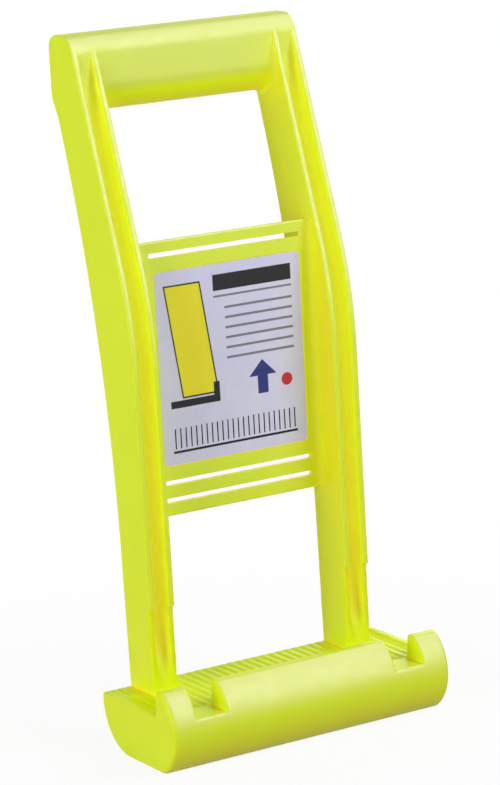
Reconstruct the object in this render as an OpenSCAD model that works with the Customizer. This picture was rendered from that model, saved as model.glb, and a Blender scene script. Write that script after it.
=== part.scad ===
// Panel carrier: a one-hand carrier for sheet material.
// A sheet stands on the ribbed ledge behind the lip and leans on two rails,
// and the hand holds an offset grip at the top.
// X runs across the carrier, +Y runs to its back, and Z = 0 is the floor.
// The origin is the centre of the flat sole.

/* [Shoe] */
// Width of the shoe over its end faces
shoe_w = 159.6; // [146:0.2:220]
// Height of the lip's top edge above the floor
lip_h = 40; // [36:0.5:46]
// Thickness of the lip at its top edge
lip_t = 4.4; // [2.4:0.1:5]
// Forward lean of the lip's inner face
lip_draft = 5.5; // [2:0.5:8]
// Radius of the rounded front, centred at half the lip's height
front_r = 24; // [23.5:0.5:30]
// Height of the ledge's rib crests above the floor
ledge_h = 27.3; // [24:0.1:31]
// Clear depth of the trough between the rails and the lip
trough_d = 27.4; // [20:0.2:36]
// Thickness of the sole, the skins and the ledge's deck
skin_t = 3; // [2:0.1:4]
// Thickness of the end faces
end_t = 3.2; // [2:0.1:5]
// Room on each side of a rail's width in the lip's notch in front of it
notch_room = 1.2; // [0.4:0.1:4]

/* [Ledge ribs] */
// Distance between the ribs' middles
rib_pitch = 4.8; // [4:0.1:8]
// Width of a rib at the deck
rib_w = 4.2; // [2:0.1:4.6]
// Height of a rib above the deck
rib_h = 0.5; // [0.3:0.1:1.5]

/* [Rails] */
// Width over the rails' outer faces
rail_span = 127.6; // [110:0.2:136]
// Width of one rail
rail_w = 14.3; // [11:0.1:18]
// Depth of a rail where it stands on the ledge
rail_d = 23.4; // [21:0.2:28]
// Thickness of a rail's flanges
flange_t = 3.2; // [2.4:0.1:4]
// Thickness of a rail's web
web_t = 3; // [2:0.1:4]
// Depth of the channel in a rail's front
channel_d = 10.5; // [6:0.5:13]
// Backward lean of the rails' front below the elbow
lean_low = 0.7; // [0:0.1:3]
// Backward lean of the rails' front above the elbow
lean_up = 18.2; // [12:0.2:22]
// Height of the elbow, where the two front lines would meet
elbow_h = 209.3; // [190:0.1:230]
// Radius of the elbow on the rails' front edge
elbow_r = 190; // [120:5:240]
// Backward lean of the rails' back edge near the shoe
lean_back = 1.6; // [0:0.1:3]
// Height where the rails' back edge starts to curve
back_curve_h = 95; // [80:1:120]

/* [Rail feet] */
// Height of a foot's top, where the open channel starts
foot_h = 70; // [60:1:80]
// Height where the channel has run out to the front
ramp_low = 37; // [34:1:42]
// Height where the channel reaches its full depth
ramp_high = 65; // [50:1:70]
// Distance of a foot's front behind the rails' front line
foot_set = 1.3; // [0.5:0.1:2]
// Radius of a foot's upright front corners
foot_corner_r = 3; // [1:0.5:5]

/* [Grip] */
// Height of the grip's top above the floor
total_h = 343.4; // [320:0.2:380]
// Height of the grip's section
grip_h = 37.9; // [34:0.1:44]
// Depth of the grip's section
grip_d = 22.4; // [22:0.2:28]
// Radius of the grip's top front corner
grip_top_front_r = 9.5; // [7:0.5:12]
// Radius of the grip's top back corner
grip_top_back_r = 6.5; // [4:0.5:9]
// Radius of the grip's bottom front corner
grip_low_front_r = 15; // [10:0.5:15]
// Radius of the grip's bottom back corner
grip_low_back_r = 6.5; // [4:0.5:6.5]

/* [Panel] */
// Height of the panel's bottom edge
panel_low = 108.9; // [90:0.1:120]
// Height of the panel's top edge
panel_top = 244.6; // [225:0.1:260]
// Thickness of the panel
panel_t = 2.5; // [2:0.1:4]
// Distance of the panel's face behind the rails' front at the ledge
panel_set = 19.3; // [17:0.1:20]
// Height of a slot
slot_h = 2.6; // [2:0.1:4]
// Width of a slot over its round ends
slot_w = 87.4; // [60:0.2:88]
// Distance of the slots' middle to the right of the panel's middle
slot_shift = 1.4; // [-2:0.1:2]
// Distance of the upper slot's middle below the panel's top edge
slot_top = 6.9; // [5:0.1:8]
// Distance of the lowest slot's middle above the panel's bottom edge
slot_low = 7.6; // [5:0.1:8]
// Distance between the two lower slots' middles
slot_pitch = 8.7; // [7:0.1:10]

/* [Label] */
// Width of the label
label_w = 82.8; // [70:0.2:86]
// Height of the label
label_h = 95.6; // [80:0.2:97]
// Thickness of the label
label_t = 0.3; // [0.2:0.05:0.4]
// Radius of the label's corners
label_r = 2.5; // [1:0.5:5]
// Height of the label's middle
label_mid = 181.5; // [178:0.5:184]
// Distance of the label's middle to the right of the panel's middle
label_shift = 2; // [-2:0.5:2]
// Depth of the field that the label is stuck in
field_d = 0.6; // [0.4:0.1:1]
// Room between the label and the field's edge
field_room = 0.8; // [0.4:0.1:1]

/* [Hidden] */
$fn = 96;

// Reach of cutting shapes past the faces that they cut
cut = 1;
// Reach of areas that are trimmed by another shape
far = 60;
// Steps on the rails' long curves
long_fn = 720;
// The bend crosses the straight lines that it joins, this far outside them
bend_ease = 0.02;
// Step from a flange's sides in to the bead on its front edge
bead_step = 0.1;
// Radius of the bead's two front corners
bead_edge_r = 0.9;
// Flats that make up one of these corners
bead_flats = 4;
// Share of the grip's bottom back radius by which the rails' back edge ends in front of its back
back_end_share = 0.75;
// Depth of the web's fill behind the grip's front face
fill_set = 0.05;
// Least thickness of this fill, at its top
fill_t = 0.6;

// Heights of the deck's two faces
deck_z = ledge_h - rib_h;
deck_low_z = deck_z - skin_t;
// The back skin is a quarter round under the deck
back_r = deck_low_z;

// Forward lean of the lip over its height
lip_lean = (lip_h - deck_z) * tan(lip_draft);
// The sole's depth follows from what stands on the ledge
sole_d = rail_d + trough_d + lip_lean + lip_t - back_r;
sole_front_y = -sole_d / 2;
sole_back_y = sole_d / 2;
ledge_back_y = sole_back_y + back_r;
rail_front_y = ledge_back_y - rail_d;
lip_y = rail_front_y - trough_d;
front_z = lip_h / 2;
front_y = sole_front_y + sqrt(front_r * front_r - front_z * front_z);
// Start of the areas that reach past the shoe's rounded front
front_clear_y = front_y - front_r - cut;
inside_w = shoe_w - 2 * end_t;

// The ribs are arcs that stand out of the deck
rib_r = (rib_w * rib_w / 4 + rib_h * rib_h) / (2 * rib_h);
rib_count = floor((inside_w - rib_w) / rib_pitch) + 1;

// Places across the carrier
rail_x = (rail_span - rail_w) / 2;
rail_in_x = rail_span / 2 - rail_w;
outer_x = (rail_span - flange_t) / 2;
inner_x = rail_in_x + flange_t / 2;
channel_w = rail_w - 2 * flange_t;
// The ribs stop this far in front of a foot and behind it
seat_room = rib_h / 2;
notch_w = rail_w + 2 * notch_room;
// The bead is a little fuller round the bend, where it covers the straight beads' ends
bead_r = flange_t / 2 - bead_step;
bend_bead_r = flange_t / 2 - bead_step / 2;

// Elbow of the rails' front line, in Y and Z
function along(lean) = [sin(lean), cos(lean)];
function square_to(lean) = [cos(lean), -sin(lean)];
function front_at(z) = rail_front_y + (z - ledge_h) * tan(lean_low);
elbow = [front_at(elbow_h), elbow_h];
elbow_mid = (lean_low + lean_up) / 2;
elbow_centre = elbow + elbow_r / cos((lean_up - lean_low) / 2) * square_to(elbow_mid);
bend_start = elbow_centre - elbow_r * square_to(lean_low);
bend_end = elbow_centre - elbow_r * square_to(lean_up);

// The rails' front line touches the grip's top front corner
grip_low_z = total_h - grip_h;
grip_corner_z = total_h - grip_top_front_r;
grip_reach = grip_top_front_r + (grip_corner_z - elbow.y) * sin(lean_up);
grip_front_y = elbow.x + grip_reach / cos(lean_up) - grip_top_front_r;
grip_back_y = grip_front_y + grip_d;
// Top of the web's fill, where it is thinnest between its front and the grip's round
fill_top_z = grip_low_z + grip_low_front_r - sqrt(2 * grip_low_front_r * fill_t - fill_t * fill_t);

// The rails' back edge is a line and then an arc that ends under the grip's back
back_start = [ledge_back_y + (back_curve_h - ledge_h) * tan(lean_back), back_curve_h];
back_end = [grip_back_y - back_end_share * grip_low_back_r, grip_low_z];
back_chord = back_end - back_start;
back_curve_r = back_chord * back_chord / (2 * back_chord * square_to(lean_back));
back_centre = back_start + back_curve_r * square_to(lean_back);

// Depth that the channel's floor gains per millimetre of height in a foot
ramp_slope = (front_at(ramp_high) + channel_d - front_at(ramp_low) - foot_set) / (ramp_high - ramp_low);

// Panel and label
panel_y = rail_front_y + panel_set;
panel_w = 2 * rail_in_x;
slot_x = (slot_w - slot_h) / 2;
slot_heights = [panel_top - slot_top, panel_low + slot_low, panel_low + slot_low + slot_pitch];
label_y = panel_y + field_d - label_t;

moulding_colour = [0.80, 0.88, 0.22];
paper_colour = [0.82, 0.81, 0.91];

// Extrudes an outline in Y and Z across X
module side_extrude(x0, x1)
    translate([x0, 0, 0])
        rotate([90, 0, 90])
            linear_extrude(x1 - x0)
                children();

// Extrude a section along the straight stretches of the rails' front line.
// The section is in X and in depth behind the front line.
module sweep_low(z0, z1) {
    translate([0, front_at(z0), z0])
        rotate([-lean_low, 0, 0])
            linear_extrude((z1 - z0) / cos(lean_low))
                children();
}

module sweep_up(z0, z1) {
    translate([0, bend_end.x + (z0 - bend_end.y) * tan(lean_up), z0])
        rotate([-lean_up, 0, 0])
            linear_extrude((z1 - z0) / cos(lean_up))
                children();
}

// Turns a section round the rails' elbow
module sweep_bend()
    translate([0, elbow_centre.x, elbow_centre.y])
        rotate([90, 0, -90])
            rotate([0, 0, lean_low])
                rotate_extrude(angle = lean_up - lean_low, $fn = long_fn)
                    translate([elbow_r, 0])
                        rotate(90)
                            children();

// Area behind the rails' front line, from a depth d on
module front_area(d) {
    corner = elbow + d / cos((lean_up - lean_low) / 2) * square_to(elbow_mid);
    low = corner - elbow_h * along(lean_low);
    high = corner + elbow_h * along(lean_up);
    inside = elbow_r - d - cut;
    outside = elbow_r - d + cut;
    difference() {
        polygon([low, corner, high, high + [far, 0], low + [2 * far, 0]]);
        difference() {
            polygon([
                elbow_centre - inside * square_to(lean_low),
                elbow_centre - outside * square_to(lean_low),
                corner - 2 * cut * square_to(elbow_mid),
                elbow_centre - outside * square_to(lean_up),
                elbow_centre - inside * square_to(lean_up)
            ]);
            translate(elbow_centre)
                circle(elbow_r - d + bend_ease, $fn = long_fn);
        }
    }
}

// Area in front of the rails' back edge, from height z0 up into the grip
module rail_area(z0) {
    base_y = ledge_back_y + (z0 - ledge_h) * tan(lean_back);
    inside_grip = [grip_front_y + grip_d / 2, grip_low_z + grip_low_back_r];
    difference() {
        polygon([
            [lip_y, z0],
            [base_y, z0],
            back_start + cut * along(lean_back),
            [back_start.x + far, back_start.y + cut],
            [back_start.x + far, inside_grip.y],
            inside_grip,
            [inside_grip.x, grip_corner_z],
            [lip_y, grip_corner_z]
        ]);
        translate(back_centre)
            circle(back_curve_r + bend_ease, $fn = long_fn);
    }
}

// Quarter disc that fills one corner of a section, turned to face it
module corner_round(r, turn)
    rotate(turn)
        intersection() {
            circle(r);
            square(r + cut);
        }

// Section of the grip: four corner rounds and the area between them
module grip_section() {
    y0 = grip_front_y;
    y1 = grip_back_y;
    z0 = grip_low_z;
    z1 = total_h;
    corners = [
        [[y0 + grip_low_front_r, z0 + grip_low_front_r], grip_low_front_r, 180],
        [[y1 - grip_low_back_r, z0 + grip_low_back_r], grip_low_back_r, 270],
        [[y1 - grip_top_back_r, z1 - grip_top_back_r], grip_top_back_r, 0],
        [[y0 + grip_top_front_r, z1 - grip_top_front_r], grip_top_front_r, 90]
    ];
    for (corner = corners)
        translate(corner[0])
            corner_round(corner[1], corner[2]);
    polygon([
        [y0, z0 + grip_low_front_r],
        [y0 + grip_low_front_r, z0],
        [y1 - grip_low_back_r, z0],
        [y1, z0 + grip_low_back_r],
        [y1, z1 - grip_top_back_r],
        [y1 - grip_top_back_r, z1],
        [y0 + grip_top_front_r, z1],
        [y0, z1 - grip_top_front_r]
    ]);
}

module grip_solid()
    side_extrude(-rail_span / 2, rail_span / 2)
        grip_section();

// Section of a bead with rounded front corners, in X and in depth behind the rails' front line
module bead_section(r) {
    edge_r = bead_edge_r + r - bead_r;
    corner = [for (i = [0 : bead_flats]) edge_r * [cos(90 * i / bead_flats), -sin(90 * i / bead_flats)]];
    translate([0, bead_edge_r])
        polygon([
            for (i = [0 : bead_flats])
                [r - edge_r + corner[i].x, corner[i].y],
            for (i = [bead_flats : -1 : 0])
                [edge_r - r - corner[i].x, corner[i].y],
            [-r, r],
            [r, r]
        ]);
}

// Bead along a flange's front edge, in the height of the open channel
module bead(x)
    intersection() {
        translate([x, 0, 0]) {
            sweep_low(deck_z, bend_start.y + cut)
                bead_section(bead_r);
            sweep_bend()
                bead_section(bend_bead_r);
            sweep_up(bend_end.y - cut, total_h)
                bead_section(bead_r);
        }
        side_extrude(x - flange_t, x + flange_t)
            translate([lip_y, foot_h])
                square([3 * far, grip_corner_z - foot_h]);
    }

module flange(x)
    color(moulding_colour) {
        side_extrude(x - flange_t / 2, x + flange_t / 2)
            difference() {
                intersection() {
                    front_area(bead_edge_r - bead_step);
                    rail_area(foot_h);
                }
                grip_section();
            }
        difference() {
            bead(x);
            grip_solid();
        }
    }

// Area of the open channel, in front of the web and of the grip's face
module channel_area()
    difference() {
        translate([lip_y, foot_h - cut])
            square([grip_front_y + fill_set - lip_y, total_h - foot_h]);
        front_area(channel_d);
    }

// The web is the channel's floor, and fills the channel's top under the grip's rounded front
module web()
    color(moulding_colour)
        side_extrude(rail_x - channel_w / 2, rail_x + channel_w / 2)
            difference() {
                intersection() {
                    front_area(bead_edge_r);
                    rail_area(foot_h);
                }
                front_area(channel_d + web_t);
                channel_area();
                translate([lip_y, fill_top_z])
                    square([2 * far, grip_h]);
                grip_section();
            }

// Section of a foot: a plate with two rounded front corners
module foot_section() {
    for (side = [-1, 1])
        translate([side * (rail_w / 2 - foot_corner_r), foot_corner_r])
            circle(foot_corner_r);
    translate([-rail_w / 2 + foot_corner_r, 0])
        square([rail_w - 2 * foot_corner_r, far]);
    translate([-rail_w / 2, foot_corner_r])
        square([rail_w, far]);
}

// The channel's side view in a foot, from its run-out to the foot's top
module ramp_area()
    polygon([
        [front_at(ramp_low) + foot_set - cut * ramp_slope, ramp_low - cut],
        [front_at(ramp_high) + channel_d, ramp_high],
        [front_at(foot_h + cut) + channel_d, foot_h + cut],
        [lip_y, foot_h + cut],
        [lip_y, ramp_low - cut]
    ]);

// The open space behind a foot's front plate and ramp
module foot_back_area() {
    ramp_wall = web_t * sqrt(1 + 1 / (ramp_slope * ramp_slope));
    plate_y = front_at(deck_z) + foot_set + web_t;
    web_y = front_at(ramp_high) + channel_d + web_t;
    polygon([
        [plate_y, deck_z - cut],
        [plate_y, ramp_low - ramp_wall + web_t / ramp_slope],
        [web_y, ramp_high - ramp_wall + web_t / ramp_slope],
        [front_at(foot_h + cut) + channel_d + web_t, foot_h + cut],
        [plate_y + far, foot_h + cut],
        [plate_y + far, deck_z - cut]
    ]);
}

module foot()
    color(moulding_colour)
        difference() {
            intersection() {
                translate([rail_x, foot_set, 0])
                    sweep_low(deck_z - cut, foot_h + cut)
                        foot_section();
                side_extrude(rail_x - rail_w, rail_x + rail_w)
                    intersection() {
                        rail_area(deck_z);
                        translate([lip_y, deck_z])
                            square([far * 2, foot_h - deck_z]);
                    }
            }
            side_extrude(rail_x - channel_w / 2, rail_x + channel_w / 2) {
                ramp_area();
                foot_back_area();
            }
        }

module slot(z)
    translate([slot_shift, panel_y - cut, z])
        rotate([-90, 0, 0]) {
            for (side = [-1, 1])
                translate([side * slot_x, 0, 0])
                    cylinder(d = slot_h, h = panel_t + 2 * cut);
            translate([-slot_x, -slot_h / 2, 0])
                cube([2 * slot_x, slot_h, panel_t + 2 * cut]);
        }

// Rectangle with round corners, centred
module round_rectangle(w, h, r) {
    for (x = [-1, 1], y = [-1, 1])
        translate([x * (w / 2 - r), y * (h / 2 - r)])
            circle(r);
    square([w, h - 2 * r], center = true);
    square([w - 2 * r, h], center = true);
}

// Plate with round corners, upright in front of the panel's field
module upright_plate(y, t, w, h, r)
    translate([label_shift, y + t, label_mid])
        rotate([90, 0, 0])
            linear_extrude(t)
                round_rectangle(w, h, r);

module centre_panel()
    color(moulding_colour)
        difference() {
            translate([-panel_w / 2, panel_y, panel_low])
                cube([panel_w, panel_t, panel_top - panel_low]);
            for (z = slot_heights)
                slot(z);
            upright_plate(
                panel_y - cut, field_d + cut,
                label_w + 2 * field_room, label_h + 2 * field_room, label_r + field_room
            );
        }

module label()
    color(paper_colour)
        upright_plate(label_y, label_t, label_w, label_h, label_r);

// Section of the ledge across the carrier: the deck and its ribs
module ledge_section() {
    translate([-inside_w / 2, deck_low_z])
        square([inside_w, skin_t]);
    intersection() {
        for (i = [0 : rib_count - 1])
            translate([(i - (rib_count - 1) / 2) * rib_pitch, deck_z + rib_h - rib_r])
                circle(rib_r);
        translate([-inside_w / 2, deck_low_z + skin_t / 2])
            square([inside_w, skin_t + rib_h]);
    }
}

module ledge()
    color(moulding_colour)
        difference() {
            translate([0, ledge_back_y, 0])
                rotate([90, 0, 0])
                    linear_extrude(ledge_back_y - lip_y)
                        ledge_section();
            for (side = [-1, 1])
                translate([side * rail_x - rail_w / 2, rail_front_y + foot_set - seat_room, deck_z])
                    cube([rail_w, rail_d - foot_set + 2 * seat_room, rib_h + cut]);
        }

// The shoe's rounded front, as high as the lip
module front_round()
    intersection() {
        translate([front_y, front_z])
            circle(front_r);
        translate([front_clear_y, 0])
            square([lip_y - front_clear_y, lip_h]);
    }

module front_skin()
    color(moulding_colour)
        side_extrude(-inside_w / 2, inside_w / 2)
            difference() {
                intersection() {
                    front_round();
                    translate([front_clear_y, 0])
                        square([2 * front_r, deck_z]);
                }
                intersection() {
                    translate([front_y, front_z])
                        circle(front_r - skin_t);
                    translate([front_clear_y, skin_t])
                        square([2 * front_r, deck_low_z - skin_t]);
                }
            }

module sole()
    color(moulding_colour)
        translate([-inside_w / 2, lip_y, 0])
            cube([inside_w, sole_back_y - lip_y, skin_t]);

module back_round(r)
    intersection() {
        translate([sole_back_y, back_r])
            circle(r);
        translate([sole_back_y, 0])
            square(back_r);
    }

module back_skin()
    color(moulding_colour)
        side_extrude(-inside_w / 2, inside_w / 2)
            difference() {
                back_round(back_r);
                back_round(back_r - skin_t);
            }

// The lip's section, from the deck's level up
module lip_section()
    intersection() {
        front_round();
        polygon([
            [lip_y, deck_z],
            [lip_y - lip_lean, lip_h],
            [front_clear_y, lip_h],
            [front_clear_y, deck_z]
        ]);
    }

module lip(x0, x1)
    color(moulding_colour)
        side_extrude(x0, x1)
            lip_section();

// The whole outline of an end face
module end_section() {
    intersection() {
        front_round();
        translate([front_clear_y, 0])
            square([2 * front_r, deck_z]);
    }
    lip_section();
    back_round(back_r);
    translate([sole_back_y, back_r])
        square([back_r, ledge_h - back_r]);
    translate([lip_y, 0])
        square([sole_back_y - lip_y, ledge_h]);
}

module end_face()
    color(moulding_colour)
        side_extrude(inside_w / 2, shoe_w / 2)
            end_section();

module left() mirror([1, 0, 0]) children();

module grip_bar() color(moulding_colour) grip_solid();
module right_outer_wall() flange(outer_x);
module right_inner_wall() flange(inner_x);
module right_web() web();
module right_foot() foot();
module right_lip() lip(rail_x + notch_w / 2, inside_w / 2);
module right_end() end_face();
module left_outer_wall() left() right_outer_wall();
module left_inner_wall() left() right_inner_wall();
module left_web() left() right_web();
module left_foot() left() right_foot();
module left_lip() left() right_lip();
module left_end() left() right_end();
module centre_lip() lip(notch_w / 2 - rail_x, rail_x - notch_w / 2);

grip_bar();
left_outer_wall();
left_inner_wall();
left_web();
left_foot();
right_outer_wall();
right_inner_wall();
right_web();
right_foot();
centre_panel();
label();
ledge();
front_skin();
sole();
back_skin();
left_lip();
centre_lip();
right_lip();
left_end();
right_end();
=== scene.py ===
from math import acos, asin, atan2, cos, degrees, pi, radians, sin, sqrt, tan

import bmesh
import bpy
from mathutils import Matrix, Vector


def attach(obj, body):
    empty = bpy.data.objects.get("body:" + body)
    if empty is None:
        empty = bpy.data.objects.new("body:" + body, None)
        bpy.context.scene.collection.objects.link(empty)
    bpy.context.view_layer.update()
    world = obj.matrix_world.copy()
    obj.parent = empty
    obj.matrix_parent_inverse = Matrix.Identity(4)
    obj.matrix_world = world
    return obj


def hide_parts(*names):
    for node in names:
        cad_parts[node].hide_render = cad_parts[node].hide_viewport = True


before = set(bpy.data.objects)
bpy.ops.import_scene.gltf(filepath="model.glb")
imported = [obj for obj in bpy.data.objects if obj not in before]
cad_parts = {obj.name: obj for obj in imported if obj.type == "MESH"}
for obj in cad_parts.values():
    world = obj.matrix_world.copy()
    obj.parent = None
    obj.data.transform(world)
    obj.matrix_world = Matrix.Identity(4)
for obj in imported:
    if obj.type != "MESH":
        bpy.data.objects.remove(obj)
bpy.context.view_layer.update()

MM = 0.001

# Sizes in millimetres that the part's source has too
SHOE_W = 159.6
LIP_H, LIP_T, LIP_DRAFT = 40.0, 4.4, radians(5.5)
FRONT_R = 24.0
LEDGE_H, TROUGH_D = 27.3, 27.4
SKIN_T, END_T, NOTCH_ROOM = 3.0, 3.2, 1.2
RIB_PITCH, RIB_W, RIB_H = 4.8, 4.2, 0.5
RAIL_SPAN, RAIL_W, RAIL_D = 127.6, 14.3, 23.4
FLANGE_T, WEB_T, CHANNEL_D = 3.2, 3.0, 10.5
LEAN_LOW, LEAN_UP = radians(0.7), radians(18.2)
ELBOW_H, ELBOW_R = 209.3, 190.0
LEAN_BACK, BACK_CURVE_H, BACK_END_SHARE = radians(1.6), 95.0, 0.75
FOOT_H, FOOT_SET = 70.0, 1.3
TOTAL_H, GRIP_H, GRIP_D = 343.4, 37.9, 22.4
TOP_FRONT_R, TOP_BACK_R, LOW_FRONT_R, LOW_BACK_R = 9.5, 6.5, 15.0, 6.5
PANEL_LOW, PANEL_TOP, PANEL_T, PANEL_SET = 108.9, 244.6, 2.5, 19.3
SLOT_H, SLOT_W, SLOT_SHIFT, SLOT_TOP, SLOT_LOW, SLOT_PITCH = 2.6, 87.4, 1.4, 6.9, 7.6, 8.7
LABEL_W, LABEL_H, LABEL_R, LABEL_MID, LABEL_SHIFT = 82.8, 95.6, 2.5, 181.5, 2.0
FIELD_D = 0.6

# Sizes that only the scene has, a little off the source's, as the photo shows them
RAMP_LOW, RAMP_HIGH = 33.0, 66.0
FIELD_ROOM = 0.3
RIGHT_LIP_DROP, RIGHT_RIM, LEFT_NOTCH_SHIFT = 1.1, 0.9, 0.9

# How far the grooves between the ribs are filled, as a share, along the ledge and at its back
RIB_FILL, RIB_BACK_FILL = 0.3, 0.65

# Roundings of edges
FRONT_EDGE_R, EDGE_R, SOFT_R, SEAM_R = 0.9, 1.0, 0.5, 0.06
LIP_EDGE_R, SOLE_EDGE_R, SEAT_R = 1.2, 1.4, 1.2
NOTCH_EDGE_R, NOTCH_FLOOR_R, NOTCH_START = 1.4, 1.2, 1.3
END_FRONT_R, END_TOP_R, END_INNER_R, END_BACK_R, END_LOW_R = 2.4, 0.8, 0.4, 0.8, 1.0
LEFT_LEDGE_R, RIGHT_LEDGE_R = 1.3, 0.4
FOOT_RIM_R, FOOT_EDGE_R = 1.1, 1.6
PANEL_EDGE_R, SLOT_EDGE_R = 0.8, 0.3

# Fillets between members
GRIP_FILLET, CHANNEL_FILLET, BACK_FILLET, PANEL_FILLET = 4.0, 3.0, 2.0, 3.2

# Heights where the two walls' back edges end, and how far over its underside the grip takes up the outer one
OUTER_BACK_TOP, INNER_BACK_TOP, JOIN_RISE = 300.0, 307.0, 10.5

# In a mesh, points nearer than the first are one, edges under the second are left out, and the third
# joins points that the panel's bevel brings together
SAME_POINT, NO_LENGTH, WELD_POINT = 0.002, 0.001, 0.01

# Derived places
DECK_Z = LEDGE_H - RIB_H
DECK_LOW_Z = DECK_Z - SKIN_T
BACK_R = DECK_LOW_Z
LIP_LEAN = (LIP_H - DECK_Z) * tan(LIP_DRAFT)
SOLE_D = RAIL_D + TROUGH_D + LIP_LEAN + LIP_T - BACK_R
SOLE_FRONT_Y, SOLE_BACK_Y = -SOLE_D / 2, SOLE_D / 2
LEDGE_BACK_Y = SOLE_BACK_Y + BACK_R
RAIL_FRONT_Y = LEDGE_BACK_Y - RAIL_D
LIP_Y = RAIL_FRONT_Y - TROUGH_D
FRONT_Z = LIP_H / 2
FRONT_Y = SOLE_FRONT_Y + sqrt(FRONT_R ** 2 - FRONT_Z ** 2)
INSIDE_X = SHOE_W / 2 - END_T
RAIL_X = (RAIL_SPAN - RAIL_W) / 2
OUT_X = RAIL_SPAN / 2
IN_X = OUT_X - RAIL_W
CHANNEL_HALF = RAIL_W / 2 - FLANGE_T
NOTCH_IN_X = RAIL_X - RAIL_W / 2 - NOTCH_ROOM
NOTCH_OUT_X = RAIL_X + RAIL_W / 2 + NOTCH_ROOM
PANEL_Y = RAIL_FRONT_Y + PANEL_SET


def square_to(lean):
    """The direction, in Y and Z, square to a line that leans back."""
    return Vector((cos(lean), -sin(lean)))


def straight_front_at(z):
    """Y at a height of the rails' straight lower front, carried on upwards."""
    return RAIL_FRONT_Y + (z - LEDGE_H) * tan(LEAN_LOW)


ELBOW = Vector((straight_front_at(ELBOW_H), ELBOW_H))
ELBOW_MID = (LEAN_LOW + LEAN_UP) / 2
ELBOW_CENTRE = ELBOW + ELBOW_R / cos((LEAN_UP - LEAN_LOW) / 2) * square_to(ELBOW_MID)
BEND_START = ELBOW_CENTRE - ELBOW_R * square_to(LEAN_LOW)
BEND_END = ELBOW_CENTRE - ELBOW_R * square_to(LEAN_UP)
GRIP_LOW_Z = TOTAL_H - GRIP_H
GRIP_JOIN_Z = GRIP_LOW_Z + JOIN_RISE
GRIP_CORNER_Z = TOTAL_H - TOP_FRONT_R
GRIP_FRONT_Y = (ELBOW.x + (TOP_FRONT_R + (GRIP_CORNER_Z - ELBOW.y) * sin(LEAN_UP)) / cos(LEAN_UP)
                - TOP_FRONT_R)
GRIP_BACK_Y = GRIP_FRONT_Y + GRIP_D
GRIP_CORNER = Vector((GRIP_FRONT_Y + TOP_FRONT_R, GRIP_CORNER_Z))
TANGENT = GRIP_CORNER - TOP_FRONT_R * square_to(LEAN_UP)
TANGENT_TURN = 180 - degrees(LEAN_UP)
BACK_START = Vector((LEDGE_BACK_Y + (BACK_CURVE_H - LEDGE_H) * tan(LEAN_BACK), BACK_CURVE_H))
BACK_CHORD = Vector((GRIP_BACK_Y - BACK_END_SHARE * LOW_BACK_R, GRIP_LOW_Z)) - BACK_START
BACK_CURVE_R = BACK_CHORD.dot(BACK_CHORD) / (2 * BACK_CHORD.dot(square_to(LEAN_BACK)))
BACK_CENTRE = BACK_START + BACK_CURVE_R * square_to(LEAN_BACK)


def back_at(z):
    """Y of the rails' back edge at a height."""
    if z <= BACK_CURVE_H:
        return LEDGE_BACK_Y + (z - LEDGE_H) * tan(LEAN_BACK)
    return BACK_CENTRE.x - sqrt(BACK_CURVE_R ** 2 - (z - BACK_CENTRE.y) ** 2)


def front_at(z):
    """Y of the rails' front line at a height."""
    if z <= BEND_START.y:
        return straight_front_at(z)
    if z >= BEND_END.y:
        return BEND_END.x + (z - BEND_END.y) * tan(LEAN_UP)
    return ELBOW_CENTRE.x - sqrt(ELBOW_R ** 2 - (z - ELBOW_CENTRE.y) ** 2)


# Points on lines and curves
def on_arc(centre, r, a):
    """The point on a circle at an angle in degrees."""
    return Vector((centre[0] + r * cos(radians(a)), centre[1] + r * sin(radians(a))))


def arc(centre, r, a0, a1, n):
    """Points on an arc, from angle a0 to a1 in degrees, both ends included."""
    return [on_arc(centre, r, a0 + (a1 - a0) * i / n) for i in range(n + 1)]


def line(a, b, n):
    """Points from a to b, without a and with b."""
    a, b = Vector(a), Vector(b)
    return [a.lerp(b, i / n) for i in range(1, n + 1)]


def bezier(p0, p1, p2, p3, n):
    """Points on a cubic curve, without its start and with its end."""
    out = []
    for i in range(1, n + 1):
        t = i / n
        s = 1 - t
        out.append(s ** 3 * Vector(p0) + 3 * s * s * t * Vector(p1)
                   + 3 * s * t * t * Vector(p2) + t ** 3 * Vector(p3))
    return out


def corner(before, at, after, n):
    """Points that round a corner between two points near it, both ends included."""
    b, p, a = Vector(before), Vector(at), Vector(after)
    return [(1 - t) ** 2 * b + 2 * t * (1 - t) * p + t * t * a for t in [i / n for i in range(n + 1)]]


def quarter(r, n):
    """How far along and how deep a quarter round of radius r has come, after each of n steps."""
    return [(r * sin(pi / 2 * k / n), r * (1 - cos(pi / 2 * k / n))) for k in range(n + 1)]


def mirrored(half):
    """A closed outline from its half, which starts and ends on the middle line."""
    return half + [(-x, y) for x, y in half[-2:0:-1]]


def smooth(t):
    """Eases from 0 to 1, level at both ends."""
    t = min(1.0, max(0.0, t))
    return t * t * (3 - 2 * t)


def soft_min(a, b, room):
    """The lower of two numbers, with a smooth change from one to the other."""
    h = max(room - abs(a - b), 0.0) / room
    return min(a, b) - h * h * room / 4


# Mesh making
def add_object(name, verts, faces):
    """A closed mesh object from points in millimetres."""
    mesh = bpy.data.meshes.new(name)
    bm = bmesh.new()
    made = [bm.verts.new([c * MM for c in v]) for v in verts]
    for face in faces:
        bm.faces.new([made[i] for i in face])
    bmesh.ops.remove_doubles(bm, verts=bm.verts, dist=SAME_POINT * MM)
    bmesh.ops.dissolve_degenerate(bm, edges=bm.edges, dist=NO_LENGTH * MM)
    bmesh.ops.recalc_face_normals(bm, faces=bm.faces)
    bm.to_mesh(mesh)
    bm.free()
    obj = bpy.data.objects.new(name, mesh)
    bpy.context.scene.collection.objects.link(obj)
    return obj


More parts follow.
